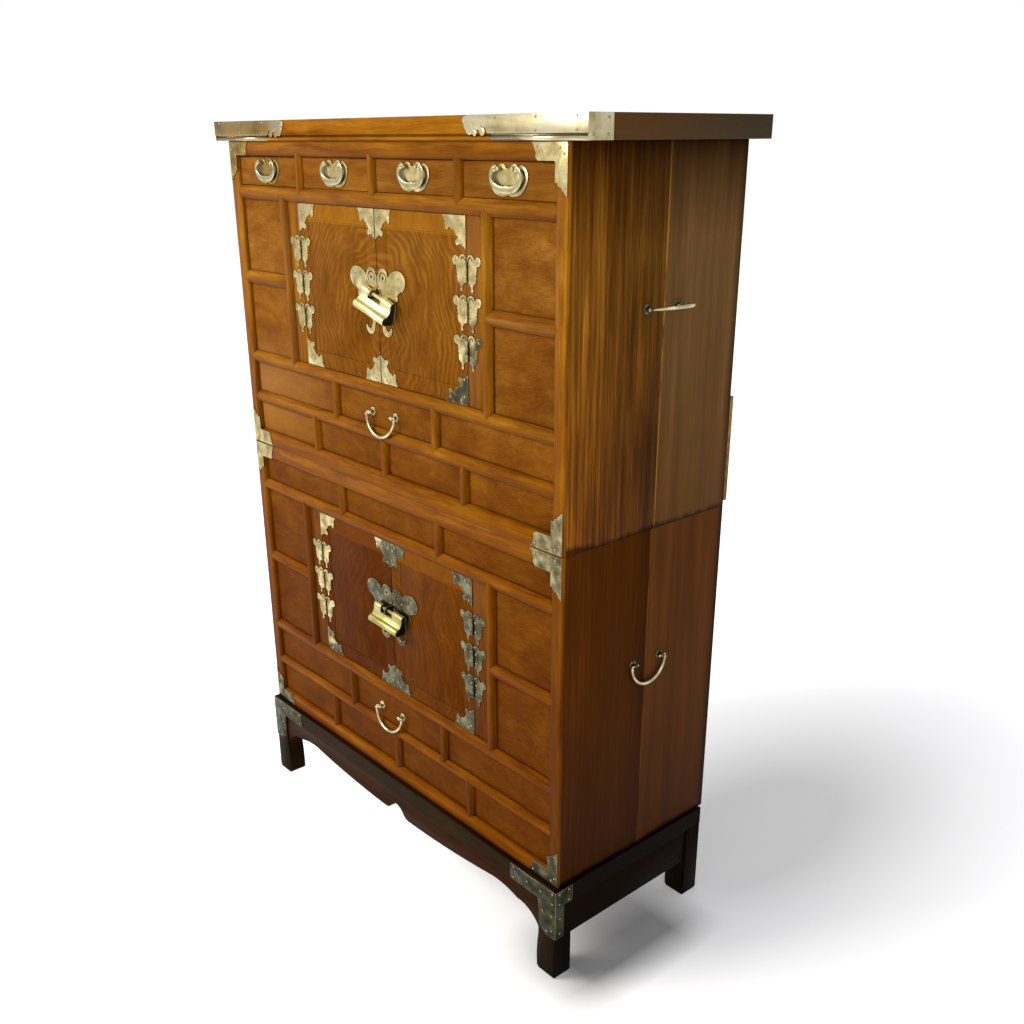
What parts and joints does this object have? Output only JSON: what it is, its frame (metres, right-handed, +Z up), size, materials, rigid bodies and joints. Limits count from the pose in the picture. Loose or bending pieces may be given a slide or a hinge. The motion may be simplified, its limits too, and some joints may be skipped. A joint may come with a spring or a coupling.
{
  "type": "korean two tier chest",
  "caption": "Wooden chest in two stacked tiers on a low stand, with small drawers, panelled front, paired doors and brass fittings.",
  "frame": {"origin": "on the floor under the middle of the whole chest, padlocks and handles included", "axes": "+Z up, the front faces -Y, +X to the right seen from the front"},
  "size_m": [0.9968, 0.3996, 1.3686],
  "materials": {
    "brass_fittings": "polished, lightly tarnished",
    "brass_handles": "worn",
    "padlock_brass": "satin",
    "stand_wood": "dark lacquer",
    "side_wood": "oiled",
    "plain_wood": "plain",
    "burl_wood": "lacquered burl",
    "panel_wood": "lacquered",
    "top_wood": "oiled",
    "frame_wood": "lacquered"
  },
  "bodies": {
    "stand": {"stand_aprons": "stand_wood", "stand_corner_straps": "brass_fittings", "stand_frame_rails": "stand_wood", "stand_legs": "stand_wood"},
    "lower_tier": {"lower_back_board": "plain_wood", "lower_bail_posts": "brass_fittings", "lower_boards": "plain_wood", "lower_corner_plates": "brass_fittings", "lower_fixed_hinge_leaves": "brass_fittings", "lower_front_panels": "panel_wood", "lower_rails": "frame_wood", "lower_side_boards": "side_wood", "lower_stiles": "frame_wood", "lower_uprights": "frame_wood"},
    "lower_left_door": {"lower_left_door_fittings": "brass_fittings", "lower_left_door_frame": "frame_wood", "lower_left_door_panel": "burl_wood"},
    "lower_right_door": {"lower_right_door_fittings": "brass_fittings", "lower_right_door_frame": "frame_wood", "lower_right_door_panel": "burl_wood"},
    "lower_padlock": {"lower_padlock_case": "padlock_brass", "lower_padlock_bolt": "padlock_brass"},
    "lower_front_bail": {"lower_front_bail": "brass_handles"},
    "lower_left_bail": {"lower_left_bail": "brass_handles"},
    "lower_right_bail": {"lower_right_bail": "brass_handles"},
    "upper_tier": {"upper_back_boards": "plain_wood", "upper_bail_posts": "brass_fittings", "upper_boards": "plain_wood", "upper_corner_plates": "brass_fittings", "upper_fixed_hinge_leaves": "brass_fittings", "upper_front_panels": "panel_wood", "upper_rails": "frame_wood", "upper_side_boards": "side_wood", "upper_stiles": "frame_wood", "upper_uprights": "frame_wood", "top_board": "top_wood", "top_board_caps": "brass_fittings"},
    "upper_left_door": {"upper_left_door_fittings": "brass_fittings", "upper_left_door_frame": "frame_wood", "upper_left_door_panel": "burl_wood"},
    "upper_right_door": {"upper_right_door_fittings": "brass_fittings", "upper_right_door_frame": "frame_wood", "upper_right_door_panel": "burl_wood"},
    "upper_padlock": {"upper_padlock_case": "padlock_brass", "upper_padlock_bolt": "padlock_brass"},
    "upper_front_bail": {"upper_front_bail": "brass_handles"},
    "upper_left_bail": {"upper_left_bail": "brass_handles"},
    "upper_right_bail": {"upper_right_bail": "brass_handles"},
    "drawer_1": {"drawer_1_box": "panel_wood", "drawer_1_plate": "brass_fittings"},
    "drawer_1_pull": {"drawer_1_pull": "brass_handles"},
    "drawer_2": {"drawer_2_box": "panel_wood", "drawer_2_plate": "brass_fittings"},
    "drawer_2_pull": {"drawer_2_pull": "brass_handles"},
    "drawer_3": {"drawer_3_box": "panel_wood", "drawer_3_plate": "brass_fittings"},
    "drawer_3_pull": {"drawer_3_pull": "brass_handles"},
    "drawer_4": {"drawer_4_box": "panel_wood", "drawer_4_plate": "brass_fittings"},
    "drawer_4_pull": {"drawer_4_pull": "brass_handles"}
  },
  "joints": [
    {"name": "lower_tier_lift", "type": "slide", "parent": "stand", "child": "lower_tier", "axis": [0, 0, 1], "range_m": [0, 0.1]},
    {"name": "upper_tier_lift", "type": "slide", "parent": "lower_tier", "child": "upper_tier", "axis": [0, 0, 1], "range_m": [0, 0.1]},
    {"name": "lower_left_door_hinge", "type": "hinge", "parent": "lower_tier", "child": "lower_left_door", "pos_m": [-0.232, -0.1739, 0.5213], "axis": [0, 0, -1], "range_deg": [0, 150]},
    {"name": "lower_right_door_hinge", "type": "hinge", "parent": "lower_tier", "child": "lower_right_door", "pos_m": [0.232, -0.1739, 0.5213], "axis": [0, 0, 1], "range_deg": [0, 150]},
    {"name": "lower_padlock_swing", "type": "hinge", "parent": "lower_left_door", "child": "lower_padlock", "pos_m": [0.004, -0.18075, 0.5359], "axis": [-0.9981, 0, 0.0611], "range_deg": [0, 60]},
    {"name": "lower_front_bail_swing", "type": "hinge", "parent": "lower_tier", "child": "lower_front_bail", "pos_m": [-0.018, -0.17825, 0.3173], "axis": [-1, 0, 0], "range_deg": [0, 150]},
    {"name": "lower_left_bail_swing", "type": "hinge", "parent": "lower_tier", "child": "lower_left_bail", "pos_m": [-0.456, 0.016, 0.5403], "axis": [0, 1, 0], "range_deg": [0, 150]},
    {"name": "lower_right_bail_swing", "type": "hinge", "parent": "lower_tier", "child": "lower_right_bail", "pos_m": [0.456, 0.016, 0.5403], "axis": [0, -1, 0], "range_deg": [0, 150]},
    {"name": "upper_left_door_hinge", "type": "hinge", "parent": "upper_tier", "child": "upper_left_door", "pos_m": [-0.232, -0.1739, 1.0946], "axis": [0, 0, -1], "range_deg": [0, 150]},
    {"name": "upper_right_door_hinge", "type": "hinge", "parent": "upper_tier", "child": "upper_right_door", "pos_m": [0.232, -0.1739, 1.0946], "axis": [0, 0, 1], "range_deg": [0, 150]},
    {"name": "upper_padlock_swing", "type": "hinge", "parent": "upper_left_door", "child": "upper_padlock", "pos_m": [0.014, -0.18075, 1.09798], "axis": [-0.9613, 0, 0.2756], "range_deg": [0, 60]},
    {"name": "upper_front_bail_swing", "type": "hinge", "parent": "upper_tier", "child": "upper_front_bail", "pos_m": [0, -0.17825, 0.8998], "axis": [-1, 0, 0], "range_deg": [0, 150]},
    {"name": "upper_left_bail_swing", "type": "hinge", "parent": "upper_tier", "child": "upper_left_bail", "pos_m": [-0.456, 0.016, 1.1096], "axis": [0, 1, 0], "range_deg": [-90, 60]},
    {"name": "upper_right_bail_swing", "type": "hinge", "parent": "upper_tier", "child": "upper_right_bail", "pos_m": [0.456, 0.016, 1.1096], "axis": [0, -1, 0], "range_deg": [-90, 60]},
    {"name": "drawer_1_slide", "type": "slide", "parent": "upper_tier", "child": "drawer_1", "axis": [0, -1, 0], "range_m": [0, 0.22]},
    {"name": "drawer_1_pull_swing", "type": "hinge", "parent": "drawer_1", "child": "drawer_1_pull", "pos_m": [-0.32625, -0.17805, 1.2994], "axis": [-1, 0, 0], "range_deg": [0, 100]},
    {"name": "drawer_2_slide", "type": "slide", "parent": "upper_tier", "child": "drawer_2", "axis": [0, -1, 0], "range_m": [0, 0.22]},
    {"name": "drawer_2_pull_swing", "type": "hinge", "parent": "drawer_2", "child": "drawer_2_pull", "pos_m": [-0.10875, -0.17805, 1.2994], "axis": [-1, 0, 0], "range_deg": [0, 100]},
    {"name": "drawer_3_slide", "type": "slide", "parent": "upper_tier", "child": "drawer_3", "axis": [0, -1, 0], "range_m": [0, 0.22]},
    {"name": "drawer_3_pull_swing", "type": "hinge", "parent": "drawer_3", "child": "drawer_3_pull", "pos_m": [0.10875, -0.17805, 1.2994], "axis": [-1, 0, 0], "range_deg": [0, 100]},
    {"name": "drawer_4_slide", "type": "slide", "parent": "upper_tier", "child": "drawer_4", "axis": [0, -1, 0], "range_m": [0, 0.22]},
    {"name": "drawer_4_pull_swing", "type": "hinge", "parent": "drawer_4", "child": "drawer_4_pull", "pos_m": [0.32625, -0.17805, 1.2994], "axis": [-1, 0, 0], "range_deg": [0, 100]}
  ],
  "couplings": [
    {"joint": "lower_right_door_hinge", "follows": "lower_left_door_hinge", "ratio": 1},
    {"joint": "upper_right_door_hinge", "follows": "upper_left_door_hinge", "ratio": 1}
  ]
}
